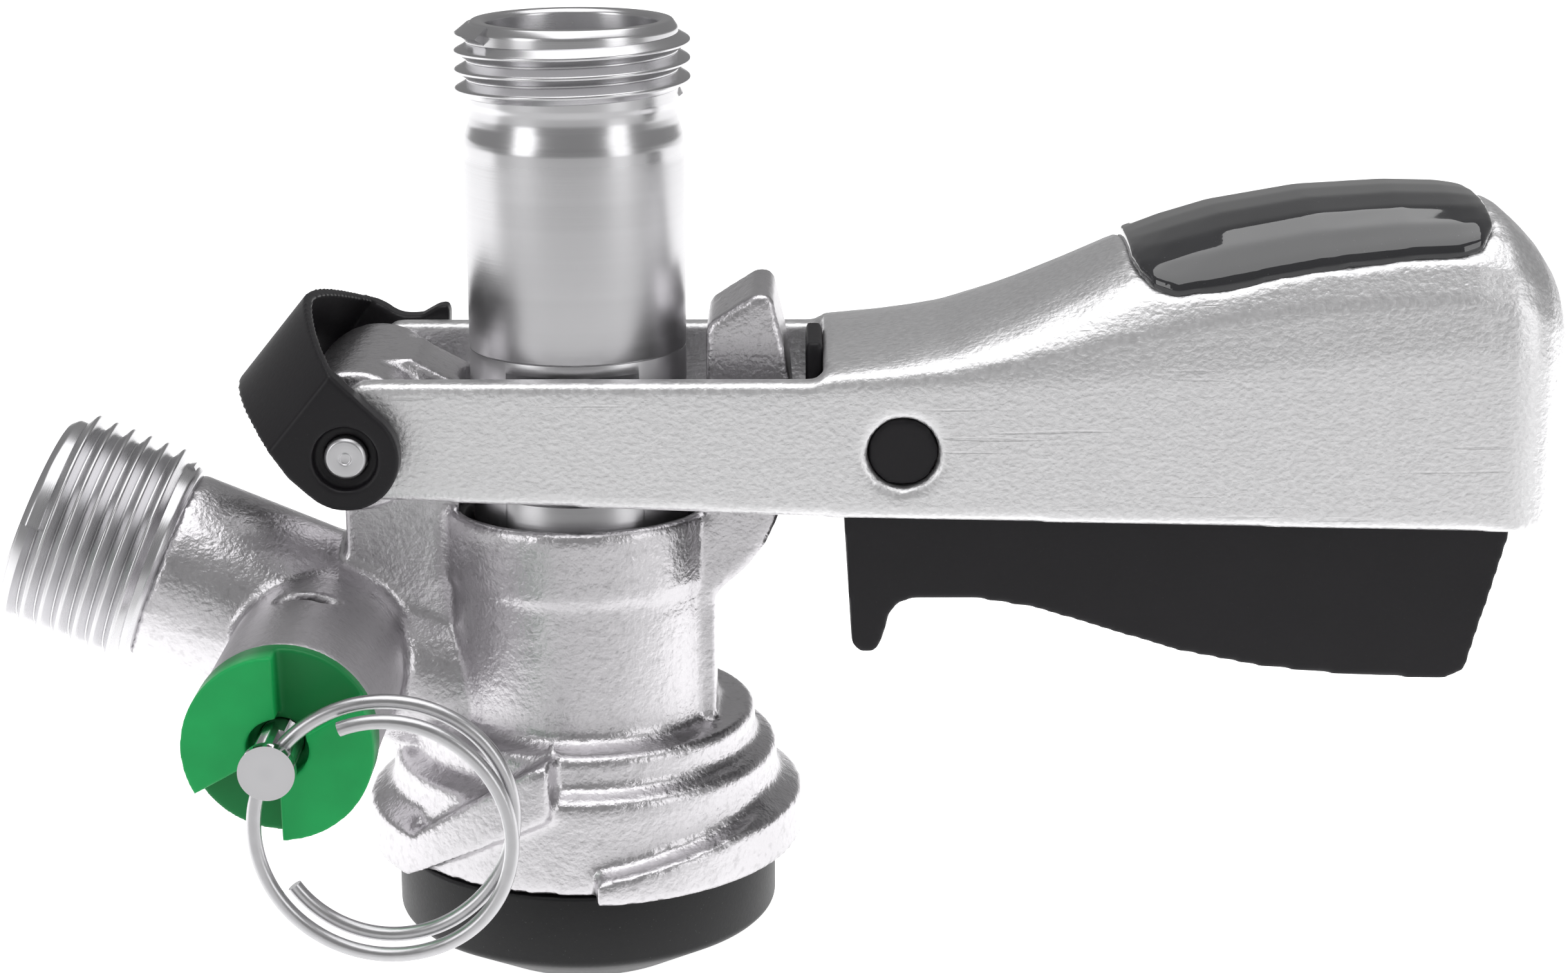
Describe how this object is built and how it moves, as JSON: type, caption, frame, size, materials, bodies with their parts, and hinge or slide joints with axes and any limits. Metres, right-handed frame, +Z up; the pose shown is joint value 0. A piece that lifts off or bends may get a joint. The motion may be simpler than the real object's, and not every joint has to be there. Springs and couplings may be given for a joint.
{
  "type": "keg_coupler",
  "caption": "Cast keg coupler with a threaded probe, a lever with a squeeze trigger, a slanted gas inlet and a relief valve with a green cap and a pull ring.",
  "frame": {"origin": "the probe's axis at the underside of the body seal", "axes": "+Z up along the probe to its threaded beer outlet, +X toward the lever's handle, -Y the side of the relief valve"},
  "size_m": [0.155, 0.0618, 0.0965],
  "materials": {
    "cast_steel": "satin",
    "turned_steel": "semi_gloss",
    "ring_steel": "gloss",
    "cast_aluminium": "satin",
    "black_rubber": "matte",
    "black_plastic": "satin",
    "black_resin": "gloss",
    "green_plastic": "satin"
  },
  "bodies": {
    "body": {"coupler_body": "cast_steel", "body_seal": "black_rubber", "guide_bush": "black_plastic", "hinge_pin": "turned_steel", "relief_cap": "green_plastic", "relief_spring": "ring_steel", "gas_check_valve": "black_rubber", "gas_valve_washer": "turned_steel"},
    "lever": {"lever": "cast_aluminium", "label_plate": "black_resin", "trigger_spring": "ring_steel"},
    "trigger": {"trigger": "black_plastic"},
    "probe": {"probe": "turned_steel", "probe_tip_seal": "black_rubber", "probe_o_rings": "black_rubber", "drive_studs": "turned_steel", "ball_retainer": "turned_steel"},
    "ball": {"check_ball": "black_plastic"},
    "hood": {"hinge_hood": "black_plastic"},
    "poppet": {"relief_poppet": "black_plastic", "relief_seal": "black_rubber"},
    "stem": {"relief_stem": "turned_steel", "pull_ring": "ring_steel"}
  },
  "joints": [
    {"name": "lever_hinge", "type": "hinge", "parent": "body", "child": "lever", "pos_m": [-0.021, 0, 0.0557], "axis": [0, -1, 0], "range_deg": [0, 24]},
    {"name": "probe_slide", "type": "slide", "parent": "body", "child": "probe", "axis": [0, 0, 1], "range_m": [0, 0.0095]},
    {"name": "trigger_hinge", "type": "hinge", "parent": "lever", "child": "trigger", "pos_m": [0.0319, 0, 0.0554], "axis": [0, -1, 0], "range_deg": [0, 5], "stiffness_Nm_per_rad": 2, "springref_deg": -2.86, "deforming": ["trigger_spring"]},
    {"name": "ball_slide", "type": "slide", "parent": "probe", "child": "ball", "axis": [0, 0, 1], "range_m": [0, 0.002]},
    {"name": "hood_hinge", "type": "hinge", "parent": "body", "child": "hood", "pos_m": [-0.021, 0, 0.0557], "axis": [0, -1, 0], "range_deg": [0, 30]},
    {"name": "relief_slide", "type": "slide", "parent": "body", "child": "poppet", "axis": [0, -1, 0], "range_m": [0, 0.0012], "stiffness_N_per_m": 1500, "springref_m": -0.002},
    {"name": "ring_swivel", "type": "hinge", "parent": "poppet", "child": "stem", "pos_m": [-0.0259, 0, 0.0324], "axis": [0, 1, 0], "continuous": true}
  ],
  "couplings": [
    {"joint": "probe_slide", "follows": "lever_hinge", "m_per_rad": 0.0225}
  ]
}
